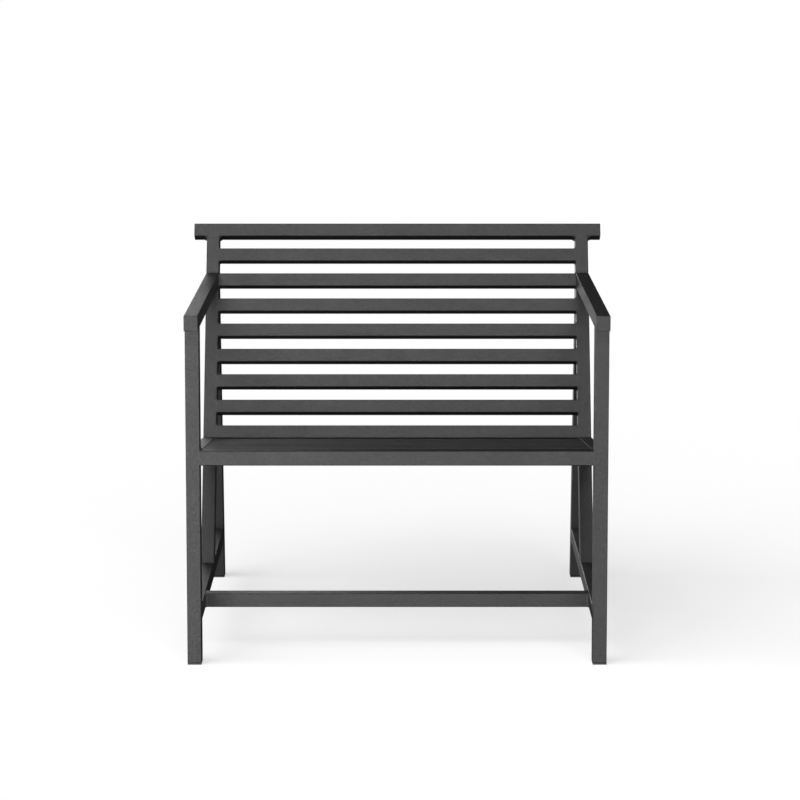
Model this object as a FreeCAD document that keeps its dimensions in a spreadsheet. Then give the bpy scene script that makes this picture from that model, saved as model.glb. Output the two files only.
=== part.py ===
"""Lounge chair for a patio or porch: an open frame welded from rectangular aluminium tube.

Millimetres and degrees. +Y points to the back of the chair and +Z up. The origin is on the floor, midway
between the front of the armrests and the back of the rear feet. Left and right are as seen by someone facing
the chair: left is -X.

Each side of the chair is a flat frame, one tube thick: front leg, armrest, reclined back post, splayed rear
leg, stretcher and seat rail. Rails and slats run across between the two side frames.
"""
import FreeCAD
import Part
import Sketcher
import math
import os

SIZES = {
    "frame_width": (750, "across both side frames, outside to outside"),
    "tube_width": (25, "thickness of a side frame, across the chair"),
    "tube_wall": (2, "wall of every tube"),
    "tube_corner": (1.5, "outer corner radius of every tube"),
    "leg_depth": (40, "front leg, front to back"),
    "arm_height": (27.5, "armrest tube, top to bottom"),
    "arm_top": (632, "top of the armrest above the floor"),
    "arm_overhang": (26, "armrest past the front of its leg"),
    "front_rail_height": (26, "front seat rail, top to bottom"),
    "front_rail_depth": (25, "front seat rail, front to back"),
    "seat_front": (387, "top of the front seat rail above the floor"),
    "seat_tilt": (6.25, "fall of the seat towards the back, from level"),
    "side_rail_height": (25, "seat side rail, top to bottom"),
    "seat_slat_count": (10, "slats in the seat"),
    "seat_slat_inset": (1, "tops of the seat's slats below the tops of its side rails"),
    "seat_back_gap": (42, "last seat slat to the front of the back, along the seat"),
    "slat_height": (26, "broad face of a slat"),
    "slat_depth": (20, "thickness of a slat"),
    "slat_drop": (2, "lower edge of the last back slat below the tops of the seat's side rails"),
    "back_slat_count": (8, "slats in the back, below the top rail"),
    "top_rail_height": (26, "front face of the top rail"),
    "top_rail_depth": (25, "thickness of the top rail"),
    "top_rail_overhang": (25, "top rail past the outside of a side frame"),
    "back_above_arms": (93, "front edge of the top rail above the armrests"),
    "recline": (25.7, "lean of the back, from upright"),
    "post_depth": (40, "back post, front to back"),
    "post_setback": (424, "foot of the back post behind the front of the front leg"),
    "rear_leg_depth": (40, "rear leg, front to back"),
    "rear_foot_setback": (794, "rear foot behind the front of the front leg"),
    "splay": (10.6, "lean of the rear leg, from upright"),
    "stretcher_height": (28, "lower side stretcher, top to bottom"),
    "stretcher_top": (103, "top of the side stretcher above the floor"),
    "crossbar_height": (25, "lower crossbar, top to bottom"),
    "crossbar_depth": (30, "lower crossbar, front to back"),
    "crossbar_setback": (130, "crossbar behind the front of the front leg"),
    "cap_thickness": (3, "plate that closes a tube's end"),
    "cap_edge": (1.2, "rounding round a cap's outer face"),
    "glide_height": (4, "foot glide below the end of its leg"),
    "glide_plug": (20, "length of a glide's plug in the leg"),
    "glide_clearance": (1.5, "core of the plug to the leg's wall"),
    "glide_fit": (0.1, "ribs of the plug to the leg's wall"),
    "glide_rib": (2, "height of a rib on the plug"),
    "glide_rib_count": (3, "ribs on a plug"),
    "top_weld": (5, "leg of the welds under the top rail"),
    "front_weld": (4, "leg of the welds on the front seat rail"),
    "slat_weld": (2.5, "leg of the welds at a slat's ends"),
    "crossbar_weld": (4, "leg of the welds at the crossbar's ends"),
    "flush_fill": (0.8, "leg of a weld ground flush in front, over the tubes' corner radius"),
    "weld_hollow": (1.25, "radius of a weld's hollow face over its leg"),
}

# Places that follow from the sizes, each a formula of them.
LAYOUT = {
    "side_x": "(sizes.frame_width - sizes.tube_width) / 2",
    "inner_width": "sizes.frame_width - 2 * sizes.tube_width",
    "lean": "sizes.recline * 1 deg",
    "tilt": "sizes.seat_tilt * 1 deg",
    "splay": "sizes.splay * 1 deg",
    "rear_foot_depth": "sizes.rear_leg_depth / cos(layout.splay)",
    "front_y": "(sizes.arm_overhang - sizes.rear_foot_setback - layout.rear_foot_depth) / 2",
    "arm_front_y": "layout.front_y - sizes.arm_overhang",
    "leg_back_y": "layout.front_y + sizes.leg_depth",
    "post_y": "layout.front_y + sizes.post_setback",
    "rear_foot_y": "layout.front_y + sizes.rear_foot_setback",
    "leg_length": "sizes.arm_top - sizes.arm_height - sizes.glide_height",
    "back_top": "sizes.arm_top + sizes.back_above_arms",
    "back_rise": "layout.back_top - sizes.stretcher_top",
    "back_top_y": "layout.post_y + layout.back_rise * tan(layout.lean)",
    "post_length": "layout.back_rise / cos(layout.lean) - sizes.top_rail_height",
    "post_mitre": "sizes.post_depth * tan(layout.lean)",
    "arm_length": "sizes.arm_overhang + sizes.post_setback - sizes.cap_thickness"
                  " + (sizes.arm_top - sizes.stretcher_top) * tan(layout.lean)",
    "arm_mitre": "sizes.arm_height * tan(layout.lean)",
    "stretcher_length": "sizes.rear_foot_setback - sizes.leg_depth - sizes.stretcher_top * tan(layout.splay)",
    "stretcher_mitre": "sizes.stretcher_height * tan(layout.splay)",
    "rear_leg_mitre": "sizes.rear_leg_depth * tan(layout.splay)",
    "rear_leg_y": "layout.rear_foot_y - sizes.glide_height * tan(layout.splay)"
                  " + layout.rear_leg_mitre * sin(layout.splay)",
    "rear_leg_z": "sizes.glide_height - layout.rear_leg_mitre * cos(layout.splay)",
    "rear_leg_length": "((layout.rear_leg_y - layout.post_y) * cos(layout.lean)"
                       " - (layout.rear_leg_z - sizes.stretcher_top) * sin(layout.lean)"
                       " - sizes.post_depth) / sin(layout.lean + layout.splay)",
    "rear_leg_top_mitre": "sizes.rear_leg_depth / tan(layout.lean + layout.splay)",
    "side_rail_z": "sizes.seat_front - sizes.leg_depth * tan(layout.tilt)",
    "side_rail_length": "((layout.post_y - layout.leg_back_y) * cos(layout.lean)"
                        " + (layout.side_rail_z - sizes.stretcher_top) * sin(layout.lean))"
                        " / cos(layout.lean - layout.tilt)",
    "side_rail_front_mitre": "sizes.side_rail_height * tan(layout.tilt)",
    "side_rail_back_mitre": "sizes.side_rail_height * tan(layout.lean - layout.tilt)",
    "seat_lead": "(sizes.leg_depth - sizes.front_rail_depth) / cos(layout.tilt)",
    "seat_gap": "(layout.side_rail_length + layout.seat_lead - sizes.seat_back_gap) / sizes.seat_slat_count"
                " - sizes.slat_height",
    "seat_back_z": "layout.side_rail_z - layout.side_rail_length * sin(layout.tilt)",
    "back_open": "(layout.back_top - layout.seat_back_z) / cos(layout.lean)"
                 " - sizes.top_rail_height + sizes.slat_drop",
    "slat_pitch": "layout.back_open / sizes.back_slat_count",
    "first_slat": "-sizes.top_rail_height - layout.slat_pitch",
    "slat_span": "(sizes.back_slat_count - 1) * layout.slat_pitch",
    "flush_weld": "sizes.flush_fill * sizes.tube_corner",
    "top_rail_length": "sizes.frame_width + 2 * sizes.top_rail_overhang - 2 * sizes.cap_thickness",
}

MITRE_MARGIN = 1
TOLERANCE = 1e-6
LEVEL = "0"
FLAT = "-90"
SIDES = {"left": "-1", "right": "1"}
BACK_PLANE = {"y": "layout.back_top_y", "z": "layout.back_top", "angle": "-sizes.recline"}
SEAT_PLANE = {"y": "layout.leg_back_y", "z": "layout.side_rail_z", "angle": "-90 - sizes.seat_tilt"}
FRONT_RAIL_PLACE = {"y": "layout.front_y", "z": "sizes.seat_front", "angle": LEVEL}
CROSSBAR_PLACE = {"y": "layout.front_y + sizes.crossbar_setback", "z": "sizes.stretcher_top", "angle": LEVEL}

doc = FreeCAD.newDocument("lounge_chair")
nodes = []


def make_sheets():
    """Fill one sheet with the driving sizes and one with the formulas that follow from them."""
    sizes = doc.addObject("Spreadsheet::Sheet", "sizes")
    for row, (alias, (size, meaning)) in enumerate(SIZES.items(), start=1):
        sizes.set(f"A{row}", meaning)
        sizes.set(f"B{row}", str(size))
        sizes.setAlias(f"B{row}", alias)
    layout = doc.addObject("Spreadsheet::Sheet", "layout")
    for row, alias in enumerate(LAYOUT, start=1):
        layout.setAlias(f"B{row}", alias)
    for row, (alias, formula) in enumerate(LAYOUT.items(), start=1):
        layout.set(f"A{row}", alias)
        layout.set(f"B{row}", "=" + formula)
    doc.recompute()
    return sizes


sheet = make_sheets()


def number(expression):
    """Value of an expression of the sheets' cells."""
    return float(sheet.evalExpression(expression))


def new_body(label, x, y, z, angle):
    """Body whose place, and turn about the X axis, are bound to expressions."""
    body = doc.addObject("PartDesign::Body", label)
    body.Label = label
    turn = FreeCAD.Rotation(FreeCAD.Vector(1, 0, 0), 1)
    body.Placement = FreeCAD.Placement(FreeCAD.Vector(), turn)
    body.setExpression("Placement.Rotation.Axis.x", "1")
    body.setExpression("Placement.Rotation.Axis.y", "0")
    body.setExpression("Placement.Rotation.Axis.z", "0")
    body.setExpression("Placement.Rotation.Angle", angle)
    body.setExpression("Placement.Base.x", x)
    body.setExpression("Placement.Base.y", y)
    body.setExpression("Placement.Base.z", z)
    nodes.append(body)
    return body


def new_sketch(body, role):
    """Empty sketch on one of the body's own origin planes."""
    sketch = body.newObject("Sketcher::SketchObject", f"{body.Label}_sketch")
    plane = next(feature for feature in body.Origin.OriginFeatures if feature.Role == role)
    sketch.AttachmentSupport = (plane, [""])
    sketch.MapMode = "FlatFace"
    return sketch


def arc_between(start, end, radius):
    """Arc that turns anticlockwise from start to end, with its centre left of the chord."""
    chord = end - start
    rise = math.sqrt(max(radius ** 2 - chord.Length ** 2 / 4, 0))
    centre = (start + end) * 0.5 + FreeCAD.Vector(-chord.y, chord.x, 0).normalize() * rise
    first = math.atan2(start.y - centre.y, start.x - centre.x)
    last = math.atan2(end.y - centre.y, end.x - centre.x)
    if last < first:
        last += 2 * math.pi
    return Part.ArcOfCircle(Part.Circle(centre, FreeCAD.Vector(0, 0, 1), radius), first, last)


def draw_outline(sketch, corners, arcs=None):
    """Closed outline whose corners, and the radii of its arcs, are bound to expressions.

    arcs gives, for the edge that leaves a corner, its radius and whether it turns clockwise.
    """
    arcs = arcs or {}
    points = [FreeCAD.Vector(number(x), number(y), 0) for x, y in corners]
    edges = []
    bonds = []
    bindings = []
    for index, start in enumerate(points):
        end = points[(index + 1) % len(points)]
        if index not in arcs:
            edges.append((sketch.addGeometry(Part.LineSegment(start, end)), 1, 2))
            continue
        radius, clockwise = arcs[index]
        ends = (end, start) if clockwise else (start, end)
        edge = sketch.addGeometry(arc_between(*ends, number(radius)))
        edges.append((edge, 2, 1) if clockwise else (edge, 1, 2))
        bonds.append(Sketcher.Constraint("Radius", edge, number(radius)))
        bindings.append(radius)
    for (edge, begin, _), corner, point in zip(edges, corners, points):
        bonds.append(Sketcher.Constraint("DistanceX", -1, 1, edge, begin, point.x))
        bonds.append(Sketcher.Constraint("DistanceY", -1, 1, edge, begin, point.y))
        bindings.extend(corner)
    numbers = sketch.addConstraint(bonds)
    for place, expression in zip(numbers, bindings):
        sketch.setExpression(f"Constraints[{place}]", expression)
    joins = []
    for (edge, _, finish), (following, begin, _) in zip(edges, edges[1:] + edges[:1]):
        joins.append(Sketcher.Constraint("Coincident", edge, finish, following, begin))
    sketch.addConstraint(joins)


def draw_rectangle(sketch, left, bottom, width, height):
    """Rectangle with sharp corners, such as the bore of a tube."""
    right = f"{left} + {width}"
    top = f"{bottom} + {height}"
    draw_outline(sketch, [(left, bottom), (right, bottom), (right, top), (left, top)])


def draw_rounded(sketch, left, bottom, width, height):
    """Rectangle with the tubes' corner radius."""
    radius = "sizes.tube_corner"
    right = f"{left} + {width}"
    top = f"{bottom} + {height}"
    corners = [
        (f"{left} + {radius}", bottom), (f"{right} - {radius}", bottom),
        (right, f"{bottom} + {radius}"), (right, f"{top} - {radius}"),
        (f"{right} - {radius}", top), (f"{left} + {radius}", top),
        (left, f"{top} - {radius}"), (left, f"{bottom} + {radius}"),
    ]
    draw_outline(sketch, corners, {edge: (radius, False) for edge in (1, 3, 5, 7)})


def draw_section(sketch, left, bottom, width, height):
    """Section of a tube: its rounded outside and its bore."""
    wall = "sizes.tube_wall"
    draw_rounded(sketch, left, bottom, width, height)
    draw_rectangle(sketch, f"{left} + {wall}", f"{bottom} + {wall}",
                   f"{width} - 2 * {wall}", f"{height} - 2 * {wall}")


def add_pad(body, sketch, length, symmetric=False, reverse=False):
    """Pad of bound length on a sketch."""
    pad = body.newObject("PartDesign::Pad", f"{body.Label}_pad")
    pad.Profile = sketch
    pad.setExpression("Length", length)
    pad.SideType = "Symmetric" if symmetric else "One side"
    pad.Reversed = reverse
    return pad


def cut_mitre(body, depth, front, back, end):
    """Cut one end of a side tube, from height front on its first face to height back on the other.

    end is 1 for the far end of the tube and -1 for the near one.
    """
    slope = f"({back} - ({front})) / ({depth}) * {MITRE_MARGIN}"
    limit = "max" if end > 0 else "min"
    beyond = f"{limit}({front}; {back}) + {end} * ({MITRE_MARGIN} + abs({slope}))"
    sketch = new_sketch(body, "YZ_Plane")
    draw_outline(sketch, [
        (f"-{MITRE_MARGIN}", f"{front} - ({slope})"),
        (f"{depth} + {MITRE_MARGIN}", f"{back} + ({slope})"),
        (f"{depth} + {MITRE_MARGIN}", beyond),
        (f"-{MITRE_MARGIN}", beyond),
    ])
    doc.recompute()
    whole = body.Shape.Volume
    pocket = body.newObject("PartDesign::Pocket", f"{body.Label}_mitre")
    pocket.Profile = sketch
    pocket.Type = "ThroughAll"
    pocket.SideType = "Symmetric"
    doc.recompute()
    if body.Shape.Volume >= whole:
        raise RuntimeError(f"{body.Label}: the mitre removed nothing")


def side_tube(label, side, place, depth, length, near=None, far=None):
    """Tube of a side frame, along its body's Z axis, with its first face at Y = 0.

    near and far, where an end is mitred, are the heights of that end on the first face and on the other.
    """
    middle = f"{SIDES[side]} * layout.side_x"
    body = new_body(f"{label}_{side}", middle, place["y"], place["z"], place["angle"])
    sketch = new_sketch(body, "XY_Plane")
    draw_section(sketch, "-sizes.tube_width / 2", "0", "sizes.tube_width", depth)
    add_pad(body, sketch, length)
    if near:
        cut_mitre(body, depth, *near, -1)
    if far:
        cut_mitre(body, depth, *far, 1)


def cross_tube(label, place, bottom, height, depth, length, inset="0"):
    """Tube that runs across the chair, with its front face at Y = inset and its lower edge at bottom."""
    body = new_body(label, "0", place["y"], place["z"], place["angle"])
    sketch = new_sketch(body, "YZ_Plane")
    draw_section(sketch, inset, bottom, depth, height)
    add_pad(body, sketch, length, symmetric=True)


def round_outer_face(body, place, axis):
    """Round the edges of the face that lies furthest out, at that place along an axis."""
    doc.recompute()
    plate = body.Tip
    edges = []
    for index, edge in enumerate(body.Shape.Edges, start=1):
        if all(abs(getattr(vertex.Point, axis) - place) < TOLERANCE for vertex in edge.Vertexes):
            edges.append(f"Edge{index}")
    fillet = body.newObject("PartDesign::Fillet", f"{body.Label}_edge")
    fillet.Base = (plate, edges)
    fillet.setExpression("Radius", "sizes.cap_edge")


def make_side_frames():
    """The six tubes of each side frame."""
    leg = {"y": "layout.front_y", "z": "sizes.glide_height", "angle": LEVEL}
    arm = {"y": "layout.arm_front_y + sizes.cap_thickness", "z": "sizes.arm_top", "angle": FLAT}
    post = {"y": "layout.post_y", "z": "sizes.stretcher_top", "angle": "-sizes.recline"}
    rear = {"y": "layout.rear_leg_y", "z": "layout.rear_leg_z", "angle": "sizes.splay"}
    stretcher = {"y": "layout.leg_back_y", "z": "sizes.stretcher_top", "angle": FLAT}
    rear_top = "layout.rear_leg_length + layout.rear_leg_top_mitre"
    stretcher_end = "layout.stretcher_length + layout.stretcher_mitre"
    for side in SIDES:
        side_tube("front_leg", side, leg, "sizes.leg_depth", "layout.leg_length")
        side_tube("armrest", side, arm, "sizes.arm_height", "layout.arm_length",
                  far=("layout.arm_length", "layout.arm_length - layout.arm_mitre"))
        side_tube("back_post", side, post, "sizes.post_depth", "layout.post_length",
                  near=("0", "layout.post_mitre"))
        side_tube("rear_leg", side, rear, "sizes.rear_leg_depth", rear_top,
                  near=("layout.rear_leg_mitre", "0"), far=("layout.rear_leg_length", rear_top))
        side_tube("side_stretcher", side, stretcher, "sizes.stretcher_height", stretcher_end,
                  far=("layout.stretcher_length", stretcher_end))
        side_tube("seat_side_rail", side, SEAT_PLANE, "sizes.side_rail_height", "layout.side_rail_length",
                  near=("0", "layout.side_rail_front_mitre"),
                  far=("layout.side_rail_length", "layout.side_rail_length - layout.side_rail_back_mitre"))


def make_cross_members():
    """Rails, slats and crossbar between the side frames."""
    cross_tube("front_seat_rail", FRONT_RAIL_PLACE, "-sizes.front_rail_height",
               "sizes.front_rail_height", "sizes.front_rail_depth", "layout.inner_width")
    cross_tube("lower_crossbar", CROSSBAR_PLACE, "-sizes.crossbar_height",
               "sizes.crossbar_height", "sizes.crossbar_depth", "layout.inner_width")
    cross_tube("top_rail", BACK_PLANE, "-sizes.top_rail_height",
               "sizes.top_rail_height", "sizes.top_rail_depth", "layout.top_rail_length")
    for index in range(int(sheet.back_slat_count)):
        cross_tube(f"back_slat_{index + 1}", BACK_PLANE, f"layout.first_slat - {index} * layout.slat_pitch",
                   "sizes.slat_height", "sizes.slat_depth", "layout.inner_width")
    for index in range(int(sheet.seat_slat_count)):
        front = f"{index + 1} * layout.seat_gap + {index} * sizes.slat_height - layout.seat_lead"
        cross_tube(f"seat_slat_{index + 1:02d}", SEAT_PLANE, front, "sizes.slat_height",
                   "sizes.slat_depth", "layout.inner_width", inset="sizes.seat_slat_inset")


def make_caps():
    """Plates that close the armrests' front ends and the top rail's two ends."""
    for side, sign in SIDES.items():
        middle = f"{sign} * layout.side_x"
        body = new_body(f"armrest_cap_{side}", middle, "layout.arm_front_y", "sizes.arm_top", FLAT)
        sketch = new_sketch(body, "XY_Plane")
        draw_rounded(sketch, "-sizes.tube_width / 2", "0", "sizes.tube_width", "sizes.arm_height")
        add_pad(body, sketch, "sizes.cap_thickness")
        round_outer_face(body, number("layout.arm_front_y"), "y")
    for side, sign in SIDES.items():
        body = new_body(f"top_rail_cap_{side}", f"{sign} * layout.top_rail_length / 2",
                        BACK_PLANE["y"], BACK_PLANE["z"], BACK_PLANE["angle"])
        sketch = new_sketch(body, "YZ_Plane")
        draw_rounded(sketch, "0", "-sizes.top_rail_height", "sizes.top_rail_depth", "sizes.top_rail_height")
        add_pad(body, sketch, "sizes.cap_thickness", reverse=number(sign) < 0)
        outer = number(f"{sign} * (layout.top_rail_length / 2 + sizes.cap_thickness)")
        round_outer_face(body, outer, "x")


def slanted_block(body, inset, low, high, depth, angle):
    """Block of a glide that leans with its leg, inset from the leg's outside on all four sides."""
    corners = []
    for height, start in ((low, True), (high, False)):
        front = f"({inset}) / cos({angle}) - ({height}) * tan({angle})"
        back = f"{depth} - ({inset}) / cos({angle}) - ({height}) * tan({angle})"
        corners += [(front, height), (back, height)] if start else [(back, height), (front, height)]
    sketch = new_sketch(body, "YZ_Plane")
    draw_outline(sketch, corners)
    return add_pad(body, sketch, f"sizes.tube_width - 2 * ({inset})", symmetric=True)


def make_glide(label, side, y, depth, angle):
    """Nylon glide: a foot as large as the leg's end and a ribbed plug that is pushed into the tube."""
    body = new_body(f"{label}_{side}", f"{SIDES[side]} * layout.side_x", y, "0", LEVEL)
    top = "sizes.glide_height"
    foot = slanted_block(body, "0", "0", top, depth, angle)
    doc.recompute()
    rises = [edge.Vertexes[0].Z - edge.Vertexes[1].Z for edge in foot.Shape.Edges]
    uprights = [f"Edge{index}" for index, rise in enumerate(rises, start=1) if abs(rise) > TOLERANCE]
    fillet = body.newObject("PartDesign::Fillet", f"{body.Label}_corners")
    fillet.Base = (foot, uprights)
    fillet.setExpression("Radius", "sizes.tube_corner")
    core_inset = "sizes.tube_wall + sizes.glide_clearance"
    rib_inset = "sizes.tube_wall + sizes.glide_fit"
    rib_step = "sizes.glide_plug / (sizes.glide_rib_count + 1)"
    slanted_block(body, core_inset, top, f"{top} + sizes.glide_plug", depth, angle)
    for index in range(1, int(sheet.glide_rib_count) + 1):
        low = f"{top} + {index} * {rib_step}"
        slanted_block(body, rib_inset, low, f"{low} + sizes.glide_rib", depth, angle)


def make_glides():
    """One glide in the foot of each leg."""
    for side in SIDES:
        make_glide("front_foot_glide", side, "layout.front_y", "sizes.leg_depth", "0 deg")
        make_glide("rear_foot_glide", side, "layout.rear_foot_y", "layout.rear_foot_depth", "layout.splay")


def draw_weld(sketch, x, y, leg, towards_x, towards_y):
    """Section of a weld in an inside corner at x, y: two legs and a hollow face."""
    corners = [(x, y), (f"{x} + {towards_x} * {leg}", y), (x, f"{y} + {towards_y} * {leg}")]
    draw_outline(sketch, corners, {1: (f"sizes.weld_hollow * {leg}", towards_x * towards_y > 0)})


def weld_body(label, place):
    """Body for a group of welds, each a solid of its own."""
    body = new_body(label, "0", place["y"], place["z"], place["angle"])
    body.AllowCompound = True
    return body


def flush_welds(body, bottom, height):
    """Welds ground flush with the front, where a member's ends meet the side frames' rounded corners."""
    doc.recompute()
    sketch = new_sketch(body, "XY_Plane")
    sketch.setExpression("AttachmentOffset.Base.z", f"{bottom} + sizes.tube_corner")
    for sign in (-1, 1):
        draw_weld(sketch, f"{sign} * layout.inner_width / 2", "0", "layout.flush_weld", sign, 1)
    return add_pad(body, sketch, f"{height} - 2 * sizes.tube_corner")


def make_top_rail_welds():
    """Welds under the top rail, on both sides of each post, and flush across the posts' fronts."""
    body = weld_body("top_rail_welds", BACK_PLANE)
    sketch = new_sketch(body, "XZ_Plane")
    for sign in (-1, 1):
        for edge, away in (("layout.inner_width", -sign), ("sizes.frame_width", sign)):
            draw_weld(sketch, f"{sign} * {edge} / 2", "-sizes.top_rail_height", "sizes.top_weld", away, -1)
    add_pad(body, sketch, "sizes.top_rail_depth", reverse=True)
    for sign in (-1, 1):
        sketch = new_sketch(body, "YZ_Plane")
        sketch.setExpression("AttachmentOffset.Base.z", f"{sign} * layout.side_x")
        draw_weld(sketch, "0", "-sizes.top_rail_height", "layout.flush_weld", 1, 1)
        add_pad(body, sketch, "sizes.tube_width - 2 * sizes.tube_corner", symmetric=True)


def make_slat_welds():
    """Welds above and below both ends of every back slat, and flush in front of them."""
    body = weld_body("back_slat_welds", BACK_PLANE)
    sketch = new_sketch(body, "XZ_Plane")
    for sign in (-1, 1):
        end = f"{sign} * layout.inner_width / 2"
        draw_weld(sketch, end, "layout.first_slat + sizes.slat_height", "sizes.slat_weld", -sign, 1)
        draw_weld(sketch, end, "layout.first_slat", "sizes.slat_weld", -sign, -1)
    corners = add_pad(body, sketch, "sizes.slat_depth", reverse=True)
    fronts = flush_welds(body, "layout.first_slat", "sizes.slat_height")
    pattern = body.newObject("PartDesign::LinearPattern", "back_slat_welds_pattern")
    pattern.Originals = [corners, fronts]
    pattern.Direction = (sketch, ["V_Axis"])
    pattern.Reversed = True
    pattern.setExpression("Length", "layout.slat_span")
    pattern.setExpression("Occurrences", "sizes.back_slat_count")
    body.Tip = pattern


def make_front_rail_welds():
    """Welds on top of the front seat rail's ends, and flush in front of them."""
    body = weld_body("front_rail_welds", FRONT_RAIL_PLACE)
    sketch = new_sketch(body, "XZ_Plane")
    for sign in (-1, 1):
        draw_weld(sketch, f"{sign} * layout.inner_width / 2", "0", "sizes.front_weld", -sign, 1)
    add_pad(body, sketch, "sizes.front_rail_depth", reverse=True)
    flush_welds(body, "-sizes.front_rail_height", "sizes.front_rail_height")


def make_crossbar_welds():
    """Upright welds before and behind both ends of the lower crossbar."""
    body = weld_body("crossbar_welds", CROSSBAR_PLACE)
    sketch = new_sketch(body, "XY_Plane")
    for sign in (-1, 1):
        for face, away in (("0", -1), ("sizes.crossbar_depth", 1)):
            draw_weld(sketch, f"{sign} * layout.inner_width / 2", face, "sizes.crossbar_weld", -sign, away)
    add_pad(body, sketch, "sizes.crossbar_height", reverse=True)


def write_parts():
    """Stop on any failed object or bad shape, then write one file for each piece or group of welds."""
    doc.recompute()
    for item in doc.Objects:
        if "Invalid" in item.State or "Error" in item.State:
            raise RuntimeError(f"{item.Label} failed: {item.State}")
    for node in nodes:
        if node.Shape.isNull() or not node.Shape.isValid() or not node.Shape.Solids:
            raise RuntimeError(f"{node.Label} has no valid shape")
    os.makedirs("parts", exist_ok=True)
    for node in nodes:
        node.Shape.exportStep(f"parts/{node.Label}.step")
    print(len(nodes), "nodes,", sum(len(node.Shape.Solids) for node in nodes), "solids")


make_side_frames()
make_cross_members()
make_caps()
make_glides()
make_top_rail_welds()
make_slat_welds()
make_front_rail_welds()
make_crossbar_welds()
write_parts()
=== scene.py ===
"""Finish and stage of a welded patio lounge chair, laid out as a Blender add-on and run as a script.

The chair's frame is loaded first and stays fixed. Its tubes and caps get a fine-texture powder coat. The
slats, the weld beads and the foot glides are rebuilt with finer edges, at the places and sizes that the frame
gives.
All lengths are in metres. +Y points to the back of the chair and +Z up.
"""

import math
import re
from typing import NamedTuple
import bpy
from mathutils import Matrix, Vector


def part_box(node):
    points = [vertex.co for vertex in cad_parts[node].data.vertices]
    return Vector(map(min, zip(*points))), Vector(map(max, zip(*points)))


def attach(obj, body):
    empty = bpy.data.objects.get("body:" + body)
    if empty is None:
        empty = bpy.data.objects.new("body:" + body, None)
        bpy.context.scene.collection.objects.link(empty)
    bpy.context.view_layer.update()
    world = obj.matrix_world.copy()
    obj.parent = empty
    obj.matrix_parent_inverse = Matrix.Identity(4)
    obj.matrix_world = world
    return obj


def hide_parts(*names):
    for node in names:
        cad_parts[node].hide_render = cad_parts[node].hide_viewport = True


bl_info = {
    "name": "Welded Lounge Chair",
    "version": (1, 0, 0),
    "blender": (4, 5, 0),
    "location": "View3D > Sidebar > Lounge Chair",
    "description": "Powder coat, slats, weld beads, foot glides and stage of a welded patio lounge chair",
    "category": "Object",
}

import bmesh
import bpy
from bpy.props import FloatProperty, FloatVectorProperty, IntProperty, PointerProperty
from mathutils import Matrix, Vector

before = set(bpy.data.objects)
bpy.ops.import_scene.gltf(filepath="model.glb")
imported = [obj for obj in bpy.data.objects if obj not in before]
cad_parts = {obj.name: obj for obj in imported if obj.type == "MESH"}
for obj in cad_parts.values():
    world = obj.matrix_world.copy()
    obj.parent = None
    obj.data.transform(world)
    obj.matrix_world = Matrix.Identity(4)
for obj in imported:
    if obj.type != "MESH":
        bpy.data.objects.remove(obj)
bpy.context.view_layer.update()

BODY = "root"
ACROSS = Vector((1, 0, 0))
BACKWARDS = Vector((0, 1, 0))
UP = Vector((0, 0, 1))
SIGNS = (-1, 1)
SIDES = ("left", "right")
SHARP = math.radians(40)

# Points closer than TOUCH to a plane lie on it, and DECIMALS of a metre tell two points apart.
TOUCH = 1e-5
DECIMALS = 6

# Most values of a noise lie between these two.
NOISE_LOW = 0.3
NOISE_HIGH = 0.7

# A point is fully on an edge where the cosine of its bevelled normal and its own falls to EDGE_FACING.
BEVEL_SAMPLES = 6
EDGE_FACING = 0.85

FLOOR_SEGMENTS = 64


class CoatSettings(bpy.types.PropertyGroup):
    """Powder coat of the tubes, slats, caps and welds."""

    colour: FloatVectorProperty(
        name="Colour", description="Grey of the coat", subtype="COLOR", size=3, min=0, max=1,
        default=(0.1, 0.1, 0.1))
    roughness: FloatProperty(
        name="Roughness", description="Middle roughness of the coat", subtype="FACTOR", min=0, max=1,
        default=0.5)
    roughness_spread: FloatProperty(
        name="Roughness spread", description="How far the coat's waves differ in roughness", subtype="FACTOR",
        default=0.05)
    flakes: FloatProperty(
        name="Flakes", description="Share of metal flakes in the coat", subtype="FACTOR", min=0, max=1,
        default=0.9)
    grain: FloatProperty(
        name="Grain", description="Size of the coat's fine grains", unit="LENGTH", default=0.0012)
    grain_height: FloatProperty(
        name="Grain height", description="Height of the fine grains", unit="LENGTH", default=0.00012)
    peel: FloatProperty(
        name="Peel", description="Size of the waves in the coat", unit="LENGTH", default=0.005)
    peel_height: FloatProperty(
        name="Peel height", description="Height of the waves in the coat", unit="LENGTH", default=0.0003)
    speckle: FloatProperty(
        name="Speckle", description="How far single grains differ in tone", subtype="FACTOR", default=0.06)
    cloud: FloatProperty(
        name="Clouds", description="Size of the lighter and darker areas", unit="LENGTH", default=0.07)
    cloud_depth: FloatProperty(
        name="Cloud depth", description="How far those areas differ in tone", subtype="FACTOR", default=0.05)
    edge: FloatProperty(
        name="Edge", description="Width of the thinner coat along edges", unit="LENGTH", default=0.0012)
    edge_wear: FloatProperty(
        name="Edge wear", description="How much lighter the coat is along edges", subtype="FACTOR",
        default=0.15)


class SlatSettings(bpy.types.PropertyGroup):
    """Slats of the back and the seat."""

    corner: FloatProperty(
        name="Corner", description="Outer corner radius of the tubes", unit="LENGTH", default=0.0015)
    corner_steps: IntProperty(
        name="Corner steps", description="Points on a rounded corner", min=2, default=7)


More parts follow.
